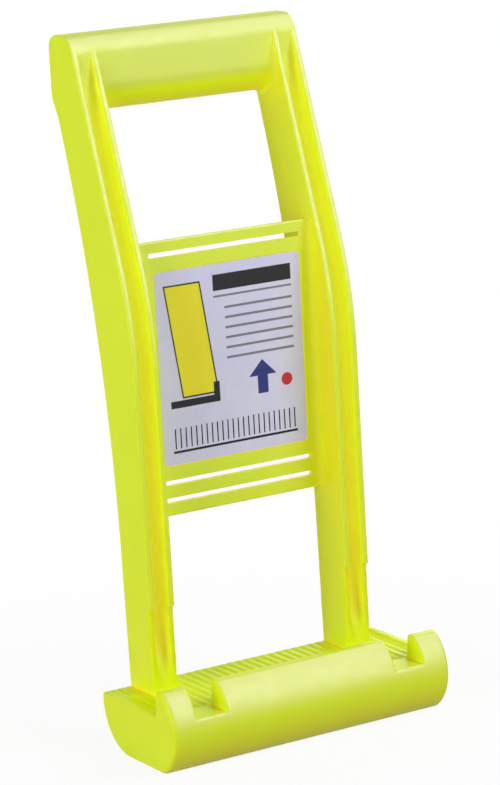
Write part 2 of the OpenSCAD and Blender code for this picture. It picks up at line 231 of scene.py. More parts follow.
def loft(name, loops):
    """A closed object from rings of points, with a flat cap at each end."""
    n = len(loops[0])
    verts = [p for ring in loops for p in ring]
    faces = []
    for k in range(len(loops) - 1):
        for i in range(n):
            j = (i + 1) % n
            faces.append([k * n + i, k * n + j, (k + 1) * n + j, (k + 1) * n + i])
    faces.append(list(range(n))[::-1])
    faces.append([(len(loops) - 1) * n + i for i in range(n)])
    return add_object(name, verts, faces)


def inset(outline, depths):
    """Moves an anticlockwise outline inwards, each edge by its own depth."""
    nearly_straight = 0.12
    n = len(outline)
    normals = []
    for i in range(n):
        d = (outline[(i + 1) % n] - outline[i]).normalized()
        normals.append(Vector((-d.y, d.x)))
    out = []
    for i in range(n):
        n0, n1 = normals[i - 1], normals[i]
        d0, d1 = depths[i - 1], depths[i]
        cross = n0.x * n1.y - n0.y * n1.x
        if abs(cross) < nearly_straight:
            out.append(outline[i] + (n0 + n1).normalized() * (d0 + d1) / 2)
        else:
            out.append(outline[i] + Vector(((d0 * n1.y - d1 * n0.y) / cross,
                                            (d1 * n0.x - d0 * n1.x) / cross)))
    return out


def plate(name, outline, r_out, r_in, x_out, x_in, steps=5):
    """An upright plate across X from an outline in Y and Z, with rounded edges on both sides."""
    side = 1 if x_out > x_in else -1
    n = len(outline)
    turns = quarter(1.0, steps)
    loops = []
    for radii, x, sign, order in ((r_out, x_out, -side, turns), (r_in, x_in, side, turns[::-1])):
        for out, deep in order:
            ring = inset(outline, [r * (1 - out) for r in radii])
            reach = [max(radii[i - 1], radii[i]) * deep for i in range(n)]
            loops.append([(x + sign * reach[i], ring[i].x, ring[i].y) for i in range(n)])
    return loft(name, loops)


def finish_piece(obj, material, *nodes, sharp=32):
    """Gives a piece its shading, material and body, and hides the CAD nodes that it stands for."""
    mesh = obj.data
    mesh.shade_smooth()
    mesh.set_sharp_from_angle(angle=radians(sharp))
    mod = obj.modifiers.new("weighted normals", "WEIGHTED_NORMAL")
    mod.keep_sharp = True
    mod.weight = 80
    mesh.materials.clear()
    mesh.materials.append(material)
    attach(obj, "root")
    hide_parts(*nodes)


def boolean_cut(obj, cutters):
    """Cuts solid shapes out of an object and removes them."""
    for cutter in cutters:
        mod = obj.modifiers.new("cut", "BOOLEAN")
        mod.operation = "DIFFERENCE"
        mod.solver = "EXACT"
        mod.object = cutter
    bpy.context.view_layer.update()
    graph = bpy.context.evaluated_depsgraph_get()
    cut = bpy.data.meshes.new_from_object(obj.evaluated_get(graph))
    obj.modifiers.clear()
    old = obj.data
    obj.data = cut
    bpy.data.meshes.remove(old)
    for cutter in cutters:
        mesh = cutter.data
        bpy.data.objects.remove(cutter)
        bpy.data.meshes.remove(mesh)


# Node helpers
class Nodes:
    """A short way to write the nodes of a material or a world."""

    def __init__(self, owner, output):
        owner.use_nodes = True
        self.tree = owner.node_tree
        self.tree.nodes.clear()
        self.out = self.new(output)

    def new(self, kind, **settings):
        node = self.tree.nodes.new(kind)
        for key, value in settings.items():
            setattr(node, key, value)
        return node

    def link(self, a, b):
        self.tree.links.new(a, b)

    def feed(self, socket, value):
        if isinstance(value, bpy.types.NodeSocket):
            self.link(value, socket)
        else:
            socket.default_value = value

    def math(self, op, a, b=0.0, clamp=False):
        node = self.new("ShaderNodeMath", operation=op, use_clamp=clamp)
        self.feed(node.inputs[0], a)
        self.feed(node.inputs[1], b)
        return node.outputs[0]

    def times(self, first, *others):
        """The product of two or more values."""
        for value in others:
            first = self.math("MULTIPLY", first, value)
        return first

    def ramp(self, value, low, high, to_low=0.0, to_high=1.0):
        """A value that goes from to_low to to_high while another goes from low to high."""
        node = self.new("ShaderNodeMapRange", clamp=True)
        self.feed(node.inputs["Value"], value)
        self.feed(node.inputs["From Min"], low)
        self.feed(node.inputs["From Max"], high)
        self.feed(node.inputs["To Min"], to_low)
        self.feed(node.inputs["To Max"], to_high)
        return node.outputs["Result"]

    def span(self, length, low, high, to_low=0.0, to_high=1.0):
        """A ramp over a length, with low and high in millimetres."""
        return self.ramp(length, low * MM, high * MM, to_low, to_high)

    def fade(self, value, low, high):
        """A ramp from 1 down to 0."""
        return self.ramp(value, low, high, 1.0, 0.0)

    def mix(self, factor, a, b):
        node = self.new("ShaderNodeMix", data_type="RGBA")
        self.feed(node.inputs["Factor"], factor)
        self.feed(node.inputs["A"], a)
        self.feed(node.inputs["B"], b)
        return node.outputs["Result"]

    def noise(self, place, scale, detail=2.0, rough=0.5):
        node = self.new("ShaderNodeTexNoise")
        self.link(place, node.inputs["Vector"])
        node.inputs["Scale"].default_value = scale
        node.inputs["Detail"].default_value = detail
        node.inputs["Roughness"].default_value = rough
        return node.outputs["Fac"]

    def parts(self, vector):
        """A vector's X, Y and Z."""
        node = self.new("ShaderNodeSeparateXYZ")
        self.link(vector, node.inputs[0])
        return node.outputs["X"], node.outputs["Y"], node.outputs["Z"]

    def seen(self):
        """1 for what the camera sees, straight or reflected, and 0 for light that only falls on things."""
        path = self.new("ShaderNodeLightPath")
        bounced = self.math("MAXIMUM", path.outputs["Is Glossy Ray"], path.outputs["Is Transmission Ray"])
        return self.math("MAXIMUM", path.outputs["Is Camera Ray"], bounced)

    def choose(self, factor, a, b):
        """Puts out shader a where the factor is 0, and b where it is 1."""
        node = self.new("ShaderNodeMixShader")
        self.link(factor, node.inputs[0])
        self.link(a.outputs[0], node.inputs[1])
        self.link(b.outputs[0], node.inputs[2])
        self.link(node.outputs["Shader"], self.out.inputs["Surface"])

    def surface(self, colour, roughness, grain, strength, depth):
        """Puts out a surface with a colour, a roughness and a fine relief, whose depth is in millimetres."""
        bump = self.new("ShaderNodeBump")
        bump.inputs["Strength"].default_value = strength
        bump.inputs["Distance"].default_value = depth * MM
        self.link(grain, bump.inputs["Height"])
        shader = self.new("ShaderNodeBsdfPrincipled")
        self.link(colour, shader.inputs["Base Color"])
        self.link(roughness, shader.inputs["Roughness"])
        self.link(bump.outputs["Normal"], shader.inputs["Normal"])
        self.link(shader.outputs["BSDF"], self.out.inputs["Surface"])
        return shader


def rgb(r, g, b):
    """A colour written as it shows on a screen, 0 to 255."""
    out = []
    for c in (r, g, b):
        c /= 255
        out.append(c / 12.92 if c <= 0.04045 else ((c + 0.055) / 1.055) ** 2.4)
    return (*out, 1.0)


# Plastic, with colours in linear light
LIME, LIME_FLOW = (0.640, 0.772, 0.001, 1), (0.652, 0.785, 0.004, 1)
LIME_CLOUD = (0.660, 0.775, 0.002, 1)
# Painted highlights: a pale colour for faces that look forwards and up, and for the grip's middle
PAINTED_EDGE_HIGHLIGHT, PAINTED_GRIP_HIGHLIGHT = (0.575, 0.605, 0.115, 1), (0.600, 0.680, 0.085, 1)
# Painted shade: the dull orange of faces turned from the light
SHADED = (0.735, 0.655, 0.016, 1)
# Painted bounced light and shade in grooves: yellow near the front, orange lower down
DEEP_HIGH, DEEP_LOW = (0.810, 0.800, 0.075, 1), (0.820, 0.710, 0.075, 1)
DEEP_FRONT = (0.690, 0.800, 0.020, 1)
# Painted shade: orange for creases, corners and the floors of recesses
ORANGE = (0.860, 0.590, 0.060, 1)
CORNER_ORANGE, DECK_ORANGE = (0.780, 0.570, 0.020, 1), (0.780, 0.520, 0.020, 1)
# The way that faces with the painted highlight look
HIGHLIGHT_WAY = (0.0, -0.70, 0.714)
PLASTIC_IOR = 1.54


def make_plastic(name, rough, gloss, painted_highlight_on=False, painted_as_grip=False, scooped=False, hollow_glow_gain=1.0):
    """The fluorescent plastic, with painted shade that turns orange in hollows, creases and faces turned from
    the light, and painted glow in hollows and on faces that look down. It can have painted highlights on its
    forward tops, the grip's painted highlight and glow, or painted shade in the feet's scoops. A gain sets
    how much painted glow its hollows get."""
    material = bpy.data.materials.new(name)
    n = Nodes(material, "ShaderNodeOutputMaterial")
    coord = n.new("ShaderNodeTexCoord")
    place, normal = coord.outputs["Object"], coord.outputs["Normal"]
    x, y, height = n.parts(place)
    facing_x, facing_y, facing_z = n.parts(normal)
    left = n.times(facing_x, -1.0)
    down = n.times(facing_z, -1.0)
    up = n.ramp(facing_z, 0.60, 0.90)

    def hollow(reach, low, high, clear):
        """How deep a place lies among other faces. It fades near the ground, to leave out the floor."""
        node = n.new("ShaderNodeAmbientOcclusion", samples=8)
        node.inputs["Distance"].default_value = reach * MM
        return n.times(n.fade(node.outputs["AO"], low, high), n.span(height, 4, clear))

    # How deep a place lies, from the whole frame's inside to the corner between two faces, which places
    # painted shade and painted glow
    inside = hollow(130, 0.50, 0.92, 90)
    recess = hollow(30, 0.35, 0.85, 24)
    groove = hollow(10, 0.25, 0.75, 16)
    crease = n.times(hollow(8, 0.50, 0.80, 16), n.ramp(groove, 0.05, 0.35))
    low = n.span(height, 60, 240, 1.0, 0.0)
    crease_share = n.times(n.ramp(low, 0.0, 1.0, 0.25, 0.45), n.span(height, 26, 36, 0.2, 1.0))
    crease = n.times(crease, n.math("MAXIMUM", crease_share, n.times(up, 0.9)))

    # How far it is turned away from the light, and where painted shade goes
    turned = n.ramp(n.math("MAXIMUM", left, down), -0.1, 0.7, 0.2, 1.0)
    turned = n.math("ADD", turned, n.span(x, 15, 48, 0.0, 0.4), clamp=True)
    turned = n.times(turned, n.fade(recess, 0.25, 0.85))
    under = n.ramp(down, 0.48, 0.88) if painted_as_grip else n.ramp(down, 0.05, 0.75)
    shade = n.math("MAXIMUM", n.times(inside, turned), n.times(under, 0.85))

    # Colour
    colour = n.mix(n.ramp(n.noise(place, 28.0, 3.0), 0.35, 0.65), LIME, LIME_FLOW)
    colour = n.mix(n.ramp(n.noise(place, 9.0), 0.40, 0.60, 0.0, 0.5), colour, LIME_CLOUD)
    # Painted highlight: faces that look forwards and up are made paler, away from hollows
    if painted_highlight_on:
        highlight_facing = n.new("ShaderNodeVectorMath", operation="DOT_PRODUCT")
        n.link(normal, highlight_facing.inputs[0])
        highlight_facing.inputs[1].default_value = HIGHLIGHT_WAY
        painted_highlight = n.times(n.ramp(highlight_facing.outputs["Value"], 0.74, 1.0, 0.0, 0.75), n.fade(recess, 0.0, 0.6))
        colour = n.mix(painted_highlight, colour, PAINTED_EDGE_HIGHLIGHT)
    # Painted highlight: the grip's middle made paler, except where it turns down
    if painted_as_grip:
        low_turn = n.ramp(down, 0.18, 0.45)
        middle = n.span(n.math("ABSOLUTE", x), 30, 56, 0.6, 0.0)
        colour = n.mix(n.times(middle, n.fade(low_turn, 0.0, 1.0)), colour, PAINTED_GRIP_HIGHLIGHT)
    # Painted shade: dull orange where faces turn from the light, lie inside the frame or look down
    colour = n.mix(shade, colour, SHADED)
    if scooped:
        aside = n.math("ABSOLUTE", n.math("SUBTRACT", n.math("ABSOLUTE", x), RAIL_X * MM))
        ahead = n.span(aside, 3.0, 6.5)
    else:
        ahead = n.span(y, -4, 6, 1.0, 0.0)
    # Painted bounced light and shade: grooves brighter and oranger, as light bounced between faces makes them
    colour = n.mix(groove, colour, n.mix(ahead, n.mix(low, DEEP_HIGH, DEEP_LOW), DEEP_FRONT))
    # Painted shade: orange on up-facing floors of recesses
    colour = n.mix(n.times(recess, recess, up, 0.50), colour, CORNER_ORANGE)
    # Painted shade: orange in creases
    colour = n.mix(crease, colour, n.mix(up, ORANGE, DECK_ORANGE))
    # Painted shade: an orange line down the valley of each foot's scoop
    if scooped:
        valley = n.times(n.span(aside, 0.5, 3.5, 1.0, 0.0), n.ramp(recess, 0.15, 0.60),
                         n.span(height, 36, 44), n.span(height, 58, 74, 0.45, 0.0))
        colour = n.mix(valley, colour, ORANGE)

    # Painted glow: emission that brightens hollows, the inside of the frame and faces that look down
    lit_below = n.times(n.ramp(down, 0.0, 0.6), n.span(height, 20, 90))
    hollow_glow = n.math("ADD", n.times(groove, 0.12 * hollow_glow_gain), n.times(recess, 0.15 * hollow_glow_gain))
    hollow_glow = n.times(hollow_glow, n.ramp(up, 0.0, 1.0, 1.0, 0.85), n.ramp(left, 0.3, 0.9, 1.0, 0.7))
    painted_glow = n.math("ADD", hollow_glow, n.times(n.math("MAXIMUM", n.times(inside, 0.6), lit_below), 0.12))
    # Painted glow on the grip's lower band
    if painted_as_grip:
        painted_glow = n.math("ADD", painted_glow, n.times(low_turn, 0.10))
    # Painted glow on the feet's forward faces
    if scooped:
        front = n.times(facing_y, -1.0)
        painted_glow = n.math("ADD", painted_glow, n.ramp(front, 0.5, 0.9, 0.0, 0.07))

    # Gloss, which is weaker in hollows
    shine = n.ramp(n.math("MAXIMUM", shade, recess), 0.0, 1.0, gloss, 0.6 * gloss)
    shine = n.times(shine, n.ramp(n.times(recess, up), 0.15, 0.60, 1.0, 0.3))
    if painted_as_grip:
        shine = n.times(shine, n.ramp(low_turn, 0.0, 1.0, 1.0, 0.4))
    if scooped:
        shine = n.times(shine, n.ramp(front, 0.35, 0.85, 1.0, 0.2))

    roughness = n.ramp(n.noise(place, 160.0, 3.0), 0.3, 0.7, rough - 0.05, rough + 0.05)
    shader = n.surface(colour, roughness, n.noise(place, 1500.0, 2.0, 0.6), 0.08, 0.2)
    # The painted glow is emitted in the painted colour
    n.link(colour, shader.inputs["Emission Color"])
    n.link(painted_glow, shader.inputs["Emission Strength"])
    n.link(shine, shader.inputs["Specular IOR Level"])
    shader.inputs["IOR"].default_value = PLASTIC_IOR
    return material


def make_label():
    """A generic print of blocks and rules, placed in millimetres from the label's middle."""
    material = bpy.data.materials.new("printed_label")
    n = Nodes(material, "ShaderNodeOutputMaterial")
    place = n.new("ShaderNodeTexCoord").outputs["Object"]
    x, _, z = n.parts(place)
    u = n.math("SUBTRACT", n.times(x, 1 / MM), LABEL_SHIFT)
    v = n.math("SUBTRACT", n.times(z, 1 / MM), LABEL_MID)
    blur = 0.12

    def band(value, low, high):
        return n.times(n.ramp(value, low - blur, low + blur), n.fade(value, high - blur, high + blur))

    def block(left, right, low, high, across=u):
        return n.times(band(across, left, right), band(v, low, high))

    fibre = n.noise(place, 900.0, 3.0)
    tone = n.noise(place, 60.0)
    ink, grey, yellow = rgb(26, 26, 30), rgb(120, 120, 132), rgb(236, 226, 40)
    blue, red = rgb(44, 52, 120), rgb(190, 48, 52)
    colour = n.mix(n.ramp(fibre, 0.3, 0.7), rgb(208, 206, 236), rgb(214, 212, 240))
    colour = n.mix(n.ramp(tone, 0.4, 0.6, 0.0, 0.6), colour, rgb(216, 214, 238))
    margin = 36

    # Header bar and the rule under it
    header_left = -9
    colour = n.mix(block(header_left, margin, 34.5, 42.5), colour, ink)
    colour = n.mix(block(header_left, margin, 31.2, 32.2), colour, grey)

    # A leaning board with a dark outline, on an angle bracket
    board_left, board_right, board_low, board_top = -31.4, -10.6, -15.6, 40.6
    outline, lean = 0.8, 0.14
    leaning = n.math("ADD", u, n.times(v, lean))
    colour = n.mix(block(board_left, board_right, board_low, board_top, leaning), colour, ink)
    colour = n.mix(block(board_left + outline, board_right - outline,
                         board_low + outline, board_top - outline, leaning), colour, yellow)
    bracket_right, bracket_low = -8, -20
    colour = n.mix(block(-margin, bracket_right, bracket_low, -16.4), colour, ink)
    colour = n.mix(block(-11.4, bracket_right, bracket_low, -10), colour, ink)

    # Plain rules of one length
    rule_left, rule_low, rule_t, rule_pitch = -3, 25.2, 1.2, 5.0
    for i in range(6):
        rule_z = rule_low - rule_pitch * i
        colour = n.mix(block(rule_left, margin, rule_z, rule_z + rule_t), colour, grey)

    # An arrow that points up
    arrow_x, arrow_half, arrow_low, arrow_neck, arrow_tip = 17.0, 3, -20, -10, -3.0
    shaft = block(arrow_x - arrow_half, arrow_x + arrow_half, arrow_low, arrow_neck)
    from_middle = n.math("ABSOLUTE", n.math("SUBTRACT", u, arrow_x))
    tip = n.math("LESS_THAN", n.math("ADD", from_middle, v), arrow_tip)
    head = n.times(tip, n.math("GREATER_THAN", v, arrow_neck - 1.0))
    colour = n.mix(n.math("MAXIMUM", shaft, head), colour, blue)

    # A spot
    spot_x, spot_z, spot_square = 31.0, -15.0, 10.0
    square_u = n.math("POWER", n.math("SUBTRACT", u, spot_x), 2.0)
    square_v = n.math("POWER", n.math("SUBTRACT", v, spot_z), 2.0)
    spot = n.math("LESS_THAN", n.math("ADD", square_u, square_v), spot_square)
    colour = n.mix(spot, colour, red)

    # A scale of even ticks on a line
    tick_start, tick_pitch, tick_share = 60.0, 3.0, 0.12
    beat = n.math("FRACT", n.math("DIVIDE", n.math("ADD", u, tick_start), tick_pitch))
    beat = n.math("ABSOLUTE", n.math("SUBTRACT", beat, 0.5))
    ticks = n.times(n.math("LESS_THAN", beat, tick_share), block(-margin, margin, -40, -30))
    colour = n.mix(ticks, colour, ink)
    colour = n.mix(block(-margin, margin, -42.2, -41.0), colour, ink)

    shader = n.surface(colour, n.ramp(tone, 0.3, 0.7, 0.55, 0.65), fibre, 0.06, 0.1)
    shader.inputs["Specular IOR Level"].default_value = 0.12
    return material


plastic = make_plastic("fluorescent_plastic", 0.48, 0.30, painted_highlight_on=True)
grip_plastic = make_plastic("grip_plastic", 0.50, 0.30, painted_highlight_on=True, painted_as_grip=True)
foot_plastic = make_plastic("foot_plastic", 0.48, 0.30, scooped=True)
ribbed_plastic = make_plastic("ribbed_plastic", 0.42, 0.05, hollow_glow_gain=2.4)
paper = make_label()


# Rails' outlines
def grip_crown():
    """The grip's outline from its back, over its top, to where the rails' front line touches it."""
    top_back = Vector((GRIP_BACK_Y - TOP_BACK_R, TOTAL_H - TOP_BACK_R))
    points = line((GRIP_BACK_Y, GRIP_JOIN_Z), (GRIP_BACK_Y, top_back.y), 3)
    points += arc(top_back, TOP_BACK_R, 0, 90, 10)[1:]
    points += line((top_back.x, TOTAL_H), (GRIP_CORNER.x, TOTAL_H), 2)
    points += arc(GRIP_CORNER, TOP_FRONT_R, 90, TANGENT_TURN, 12)[1:]
    return points


def rail_front_down():
    """The rails' front line from the grip down to the foot, without its first point."""
    points = line(TANGENT, BEND_END, 14)
    a0, a1 = (degrees(atan2(p.y - ELBOW_CENTRE.y, p.x - ELBOW_CENTRE.x)) for p in (BEND_END, BEND_START))
    points += arc(ELBOW_CENTRE, ELBOW_R, a0, a1, 28)[1:]
    points += line(BEND_START, (front_at(FOOT_H), FOOT_H), 6)
    return points


def rail_back_up(z_end):
    """The rails' back edge from the foot up to a height."""
    points = [Vector((back_at(FOOT_H), FOOT_H))]
    points += line(points[0], BACK_START, 2)
    count = 40
    heights = [BACK_CURVE_H + (z_end - BACK_CURVE_H) * (i + 1) / count for i in range(count)]
    return points + [Vector((back_at(z), z)) for z in heights]


# Rails and grip
def outer_wall(name, side, node):
    start_pull, join_pull = 9, 6.0
    outer_run, inner_run = 20, 24
    start = rail_back_up(OUTER_BACK_TOP)
    top = start[-1]
    heading = (start[-1] - start[-2]).normalized()
    sweep = bezier(top, top + start_pull * heading, (GRIP_BACK_Y, GRIP_JOIN_Z - join_pull),
                   (GRIP_BACK_Y, GRIP_JOIN_Z), 10)
    crown = grip_crown()
    front = rail_front_down()
    # One rounding for each edge of the outline, outside and on the channel's side
    r_out = [SOFT_R] * (len(start) - 1)
    r_in = [SOFT_R] * (len(start) - 1)
    for i in range(len(sweep)):
        k = i / len(sweep)
        r_out.append(SOFT_R + (EDGE_R - SOFT_R) * k)
        r_in.append(max(SEAM_R, SOFT_R * (1 - k)))
    r_out += [EDGE_R] * len(crown)
    r_in += [SEAM_R] * len(crown)
    travelled = 0.0
    for p, q in zip([crown[-1]] + front, front):
        travelled += (q - p).length
        r_out.append(EDGE_R + (FRONT_EDGE_R - EDGE_R) * smooth(travelled / outer_run))
        r_in.append(max(SEAM_R, FRONT_EDGE_R * smooth(travelled / inner_run)))
    r_out.append(0.0)
    r_in.append(0.0)
    obj = plate(name, start + sweep + crown + front, r_out, r_in, side * OUT_X, side * (OUT_X - FLANGE_T))
    finish_piece(obj, plastic, node)


def inner_wall(name, side, node):
    start = rail_back_up(INNER_BACK_TOP)
    # Inside the grip, where it doesn't show
    hidden = [Vector((GRIP_BACK_Y - LOW_BACK_R, GRIP_LOW_Z + 7)), Vector((GRIP_FRONT_Y + 11, 325.0)),
              Vector((GRIP_FRONT_Y + 6, 334.0)), Vector((TANGENT.x + 1.5, TANGENT.y - 1.0)), TANGENT.copy()]
    front = rail_front_down()
    radii = [SOFT_R] * (len(start) - 1 + len(hidden)) + [FRONT_EDGE_R] * len(front) + [0.0]
    obj = plate(name, start + hidden + front, radii, radii, side * (IN_X + FLANGE_T), side * IN_X)
    finish_piece(obj, plastic, node)


def web(name, side, node):
    h, rb = CHANNEL_HALF, BACK_FILLET
    into, edge_room, fillet_share = h + 0.5, 0.4, 0.8
    back = CHANNEL_D + WEB_T
    low_heights = (FOOT_H, 100.0, 130.0, 160.0, BEND_START.y)
    bend_steps, upper_steps, upper_share = 28, 36, 0.975
    grip_set, grip_ease = 0.04, 5.0

    def section(d):
        rf = min(CHANNEL_FILLET, fillet_share * d)
        half = [(0.0, d)] + arc((h - rf, d - rf), rf, 90, 0, 8)
        half += [(into, d - rf), (into, back + rb - edge_room)]
        half += arc((h - rb, back + rb), rb, 0, -90, 6) + [(0.0, back)]
        return mirrored(half)

    # Each station has its front point, its lean and the channel's depth there
    stations = [(front_at(z), z, 0.0, CHANNEL_D) for z in low_heights]
    for i in range(1, bend_steps + 1):
        lean = LEAN_LOW + (LEAN_UP - LEAN_LOW) * i / bend_steps
        p = ELBOW_CENTRE - ELBOW_R * square_to(lean)
        stations.append((p.x, p.y, LEAN_UP * i / bend_steps, CHANNEL_D))
    for i in range(1, upper_steps + 1):
        p = BEND_END.lerp(TANGENT, upper_share * i / upper_steps)
        to_grip = (GRIP_FRONT_Y + grip_set - p.x) / cos(LEAN_UP)
        stations.append((p.x, p.y, LEAN_UP, soft_min(CHANNEL_D, to_grip, grip_ease)))
    loops = [[(side * RAIL_X + x, y + p * cos(t), z - p * sin(t)) for x, p in section(d)]
             for y, z, t, d in stations]
    finish_piece(loft(name, loops), plastic, node)


def foot(name, side, node):
    h, full, rf = CHANNEL_HALF, RAIL_W / 2, CHANNEL_FILLET
    rim, ro, deepest = FOOT_RIM_R, FOOT_EDGE_R, CHANNEL_D - FOOT_SET
    scoop_half, scoop_power, scoop_ease, channel_rate = h + 0.9, 1.5, 1.6, 1.4
    sunk, first_z, steps = 1.0, 28.0, 42
    channel = [Vector((0.0, deepest))] + arc((h - rf, deepest - rf), rf, 90, 0, 8)
    channel += line(channel[-1], (h, rim), 5) + arc((h + rim, rim), rim, 180, 270, 6)[1:]

    def ring(z):
        """The foot's section at a height: a shallow scoop low down, which turns into the channel."""
        t = max(0.0, (RAMP_HIGH - z) / (RAMP_HIGH - RAMP_LOW))
        d = -soft_min(deepest * (t ** scoop_power - 1), 0.0, scoop_ease)
        w = smooth(channel_rate * d / deepest)
        y = front_at(z) + FOOT_SET
        deep = back_at(z) - y
        b = d + WEB_T
        half = []
        for c in channel:
            q = min(1.0, c.y / deepest)
            half.append(((1 - w) * scoop_half * acos(2 * q - 1) / pi + w * c.x, q * d))
        half += arc((full - ro, ro), ro, -90, 0, 8)
        half += corner((full, deep - SOFT_R), (full, deep), (full - SOFT_R, deep), 4)
        half += corner((h + SOFT_R, deep), (h, deep), (h, deep - SOFT_R), 4)
        half += arc((h - BACK_FILLET, b + BACK_FILLET), BACK_FILLET, 0, -90, 6)
        half += [(0.0, b)]
        return [(side * RAIL_X + x, y + p, z) for x, p in mirrored(half)]

    heights = [DECK_Z - sunk] + [first_z + (FOOT_H - first_z) * i / steps for i in range(steps + 1)]
    finish_piece(loft(name, [ring(z) for z in heights]), foot_plastic, node, sharp=40)


def grip_section():
    """The grip's whole outline in Y and Z, from its back over its top."""
    low_front = Vector((GRIP_FRONT_Y + LOW_FRONT_R, GRIP_LOW_Z + LOW_FRONT_R))
    low_back = Vector((GRIP_BACK_Y - LOW_BACK_R, GRIP_LOW_Z + LOW_BACK_R))
    points = [Vector((GRIP_BACK_Y, GRIP_JOIN_Z))] + grip_crown()
    points += arc(GRIP_CORNER, TOP_FRONT_R, TANGENT_TURN, 180, 4)[1:]
    points += line((GRIP_FRONT_Y, GRIP_CORNER_Z), (GRIP_FRONT_Y, low_front.y), 8)
    points += arc(low_front, LOW_FRONT_R, 180, 270, 18)[1:]
    points += line((low_front.x, GRIP_LOW_Z), (low_back.x, GRIP_LOW_Z), 1)
    points += arc(low_back, LOW_BACK_R, 270, 360, 9)[1:]
    points += line((GRIP_BACK_Y, low_back.y), (GRIP_BACK_Y, GRIP_JOIN_Z), 2)[:-1]
    return points


def grip_flare(section, outward):
    """How far the fillet at the grip's ends may spread at each point and stay on the rail's wall."""
    steps, front_room, back_room, back_top = 40, 1.2, 0.4, 310.0
    n = len(section)
    flare = []
    for p, m in zip(section, outward):
        reach = 0.0
        for k in range(1, steps + 1):
            q = p + m * GRIP_FILLET * k / steps
            behind = q.x - front_at(q.y)
            before = back_at(min(q.y, back_top)) - q.x
            if q.y > TANGENT.y or behind < front_room or before < back_room:
                break
            reach = GRIP_FILLET * k / steps
        flare.append(reach)
    for _ in range(3):
        flare = [min(flare[i], (flare[i - 1] + flare[i] + flare[(i + 1) % n]) / 3) for i in range(n)]
    return flare


def grip(name, node):
    section = grip_section()
    n = len(section)
    outward = []
    for i in range(n):
        d = (section[(i + 1) % n] - section[i - 1]).normalized()
        outward.append(Vector((d.y, -d.x)))
    flare = grip_flare(section, outward)
    end_x = OUT_X - FLANGE_T
    into_inner, into_outer, end_sink = 0.8, 0.25, 0.015
    # Each station has its X, its share of the flare and how far it is sunk
    half = [(0.0, 0.0, 0.0), (IN_X - GRIP_FILLET, 0.0, 0.0)]
    half += [(IN_X - GRIP_FILLET + GRIP_FILLET * out, share, 0.0) for out, share in quarter(1.0, 8)[1:]]
    half += [(IN_X + into_inner, 0.0, 0.0), (end_x, 0.0, 0.0), (end_x + into_outer, 0.0, end_sink)]
    stations = [(-x, k, sink) for x, k, sink in half[:0:-1]] + half
    loops = [[(x, p.x + m.x * (f * k - sink), p.y + m.y * (f * k - sink))
              for p, m, f in zip(section, outward, flare)] for x, k, sink in stations]
    finish_piece(loft(name, loops), grip_plastic, node)


# Shoe
def shoe_front(front=0.0, top=0.0, inner=0.0, low_z=0.0):
    """The shoe's front outline: the lower stretch, the lip's front and top, and the lip's foot.
    The four depths take the outline in at its front, top, inner face and sole."""
    sole_turn, lip_turn, edge_share = 5, 2.6, 0.4
    r = FRONT_R - front
    centre = (FRONT_Y, FRONT_Z)
    a_low = 180 + degrees(asin((FRONT_Z - low_z) / r))
    start = on_arc(centre, r, a_low)
    low = corner(start + Vector((SOLE_EDGE_R, 0)), start, on_arc(centre, r, a_low - sole_turn), 5)
    a_split = 180 - degrees(asin((DECK_Z - NOTCH_START - FRONT_Z) / r))
    low += arc(centre, r, a_low - sole_turn, a_split, 20)[1:]
    lip_top = LIP_H - top
    a_top = 180 - degrees(asin((lip_top - FRONT_Z) / r))
    high = arc(centre, r, a_split, a_top + lip_turn, 10)[1:]
    peak = on_arc(centre, r, a_top)
    lip_foot = Vector((LIP_Y - inner, DECK_Z))
    inner_top = Vector((lip_foot.x - (lip_top - DECK_Z) * tan(LIP_DRAFT), lip_top))
    down = (lip_foot - inner_top).normalized()
    edge = min(LIP_EDGE_R, edge_share * (inner_top.x - peak.x))
    high += corner(high[-1], peak, peak + Vector((edge, 0)), 3)[1:]
    high += corner(inner_top - Vector((edge, 0)), inner_top, inner_top + down * LIP_EDGE_R, 5)
    return low, high, lip_foot


def notch_path(start, count):
    """The shoe's front outline in a notch: a rounded edge, and then the floor back to the ledge."""
    floor_front = Vector((FRONT_Y - sqrt(FRONT_R ** 2 - (DECK_Z - FRONT_Z) ** 2), DECK_Z))
    points = corner(start, floor_front, floor_front + Vector((NOTCH_FLOOR_R, 0)), 6)[1:]
    return points + line(points[-1], (LIP_Y, DECK_Z), count - len(points))


def front_shell(name, *nodes):
    inner_steps, fade_h = 7, 2.0
    low, high, lip_foot = shoe_front()
    high += line(high[-1], lip_foot, inner_steps)
    lower = shoe_front(top=RIGHT_LIP_DROP)[1]
    lower += line(lower[-1], lip_foot, inner_steps)
    n = len(high)
    notch = notch_path(low[-1], n)
    inward = []
    for i in range(n):
        a = high[i - 1] if i else low[-1]
        b = high[i + 1] if i < n - 1 else high[i] + (high[i] - high[i - 1])
        d = (b - a).normalized()
        inward.append(Vector((d.y, -d.x)))
    hidden = line((LIP_Y, DECK_Z), (LIP_Y, 0), 3) + line((LIP_Y, 0), low[0], 2)[:-1]

    def shrunk(depth, outline):
        return [p + m * depth * smooth((p.y - DECK_Z) / fade_h) for p, m in zip(outline, inward)]

    r = NOTCH_EDGE_R
    turns = quarter(r, 6)[1:]

    def half(side, shift, outer):
        """The rings from the middle lip, over a notch, to one end."""
        near, far = NOTCH_IN_X + shift, NOTCH_OUT_X + shift
        rings = [(near - r, high)] + [(near - r + a, shrunk(b, high)) for a, b in turns]
        rings += [(near, notch), (far, notch)]
        rings += [(far + r - a, shrunk(b, outer)) for a, b in turns[::-1]]
        rings += [(far + r, outer), (INSIDE_X, outer)]
        return [(side * x, upper) for x, upper in rings]

    rings = half(-1, LEFT_NOTCH_SHIFT, high)[::-1] + [(0.0, high)] + half(1, 0.0, lower)
    loops = [[(x, p.x, p.y) for p in low + upper + hidden] for x, upper in rings]
    finish_piece(loft(name, loops), plastic, *nodes)


